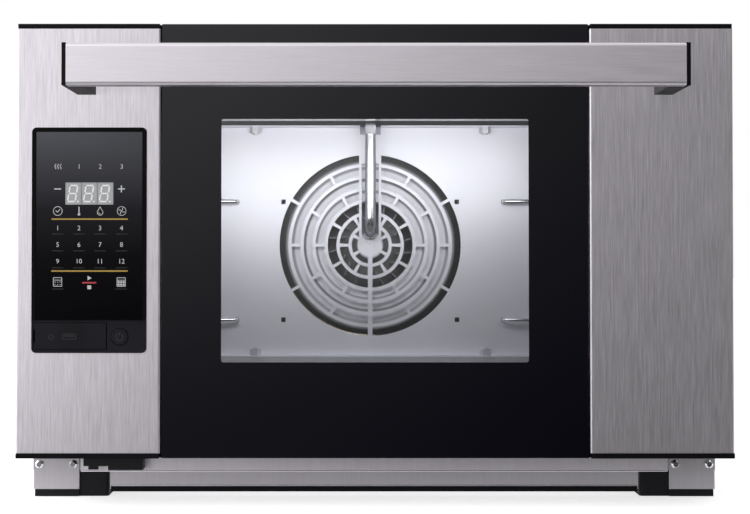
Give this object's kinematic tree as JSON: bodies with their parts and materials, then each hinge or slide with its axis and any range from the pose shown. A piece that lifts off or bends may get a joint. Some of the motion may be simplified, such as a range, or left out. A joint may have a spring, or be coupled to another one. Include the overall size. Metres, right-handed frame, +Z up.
{
  "type": "convection oven",
  "caption": "Countertop convection oven with a drop-down glass door, door-mounted touch controls, bar handle, wire tray racks and a rear fan behind a ring-slot baffle.",
  "frame": {"origin": "centre of the bounding box at the level of the feet", "axes": "+X to the right seen from the front, +Y from the door to the back, +Z up"},
  "size_m": [0.6, 0.669, 0.427],
  "materials": {
    "brushed_steel": "brushed",
    "plain_steel": "satin",
    "bright_steel": "bright",
    "handle_metal": "brushed along its length",
    "black_plastic": "matte",
    "foot_rubber": "matte",
    "gasket_rubber": "matte silicone",
    "blanket": "fibrous",
    "motor_paint": "satin",
    "element_sheath": "heat darkened",
    "copper_line": "drawn",
    "board": "lacquered",
    "socket_shell": "plated",
    "outer_glass": "polished",
    "inner_glass": "polished",
    "mask_print": "printed on the glass",
    "touch_glass": "gloss",
    "display": "smoked",
    "lamp_lens": "diffuse"
  },
  "bodies": {
    "cabinet": {"base_pan": "plain_steel", "base_front_rail": "brushed_steel", "rail_edge_trim": "black_plastic", "foot_bracket_left": "brushed_steel", "foot_bracket_right": "brushed_steel", "rubber_feet": "foot_rubber", "bracket_screws": "plain_steel", "cable_guide": "black_plastic", "side_panel_left": "brushed_steel", "side_panel_right": "brushed_steel", "top_cover": "brushed_steel", "rear_panel": "plain_steel", "front_frame": "brushed_steel", "door_gasket": "gasket_rubber", "exhaust_flue": "plain_steel", "cavity_liner": "bright_steel", "insulation_blankets": "blanket", "air_baffle": "bright_steel", "baffle_nuts": "plain_steel", "tray_rack_left": "plain_steel", "tray_rack_right": "plain_steel", "motor_mount": "plain_steel", "motor_housing": "motor_paint", "heating_element": "element_sheath", "water_tube": "plain_steel", "tube_nut": "plain_steel", "water_line": "copper_line", "water_valve": "black_plastic", "power_board": "board", "terminal_block": "black_plastic", "cable_gland": "black_plastic", "hinge_arm_left": "plain_steel", "hinge_arm_right": "plain_steel"},
    "fan": {"fan_wheel": "plain_steel", "motor_shaft": "plain_steel", "hub_nut": "plain_steel", "cooling_fan": "black_plastic"},
    "door": {"door_skin_left": "brushed_steel", "door_skin_right": "brushed_steel", "door_top_rail": "black_plastic", "door_bottom_rail": "black_plastic", "door_outer_glass": "outer_glass", "glass_mask": "mask_print", "door_inner_glass": "inner_glass", "door_inner_panel": "brushed_steel", "inner_glass_clips": "plain_steel", "door_lamps": "lamp_lens", "handle_bar": "handle_metal", "handle_end_left": "black_plastic", "handle_end_right": "black_plastic", "control_bezel": "black_plastic", "touch_panel": "touch_glass", "led_display": "display", "control_board": "board", "service_socket": "socket_shell", "door_hinge_brackets": "plain_steel", "hinge_pins": "plain_steel", "hinge_springs": "plain_steel"},
    "button": {"power_button": "black_plastic"},
    "flap": {"service_flap": "black_plastic"}
  },
  "joints": [
    {"name": "door_hinge", "type": "hinge", "parent": "cabinet", "child": "door", "pos_m": [0, -0.2395, 0.055], "axis": [1, 0, 0], "range_deg": [0, 90], "stiffness_Nm_per_rad": 8, "springref_deg": -17.19, "deforming": ["hinge_springs"]},
    {"name": "fan_spin", "type": "hinge", "parent": "cabinet", "child": "fan", "pos_m": [0, 0.18, 0.225], "axis": [0, 1, 0], "continuous": true},
    {"name": "power_press", "type": "slide", "parent": "door", "child": "button", "axis": [0, 1, 0], "range_m": [0, 0.0015], "stiffness_N_per_m": 800},
    {"name": "flap_hinge", "type": "hinge", "parent": "door", "child": "flap", "pos_m": [-0.2253, -0.2692, 0.1441], "axis": [0, 0, 1], "range_deg": [0, 95]}
  ]
}
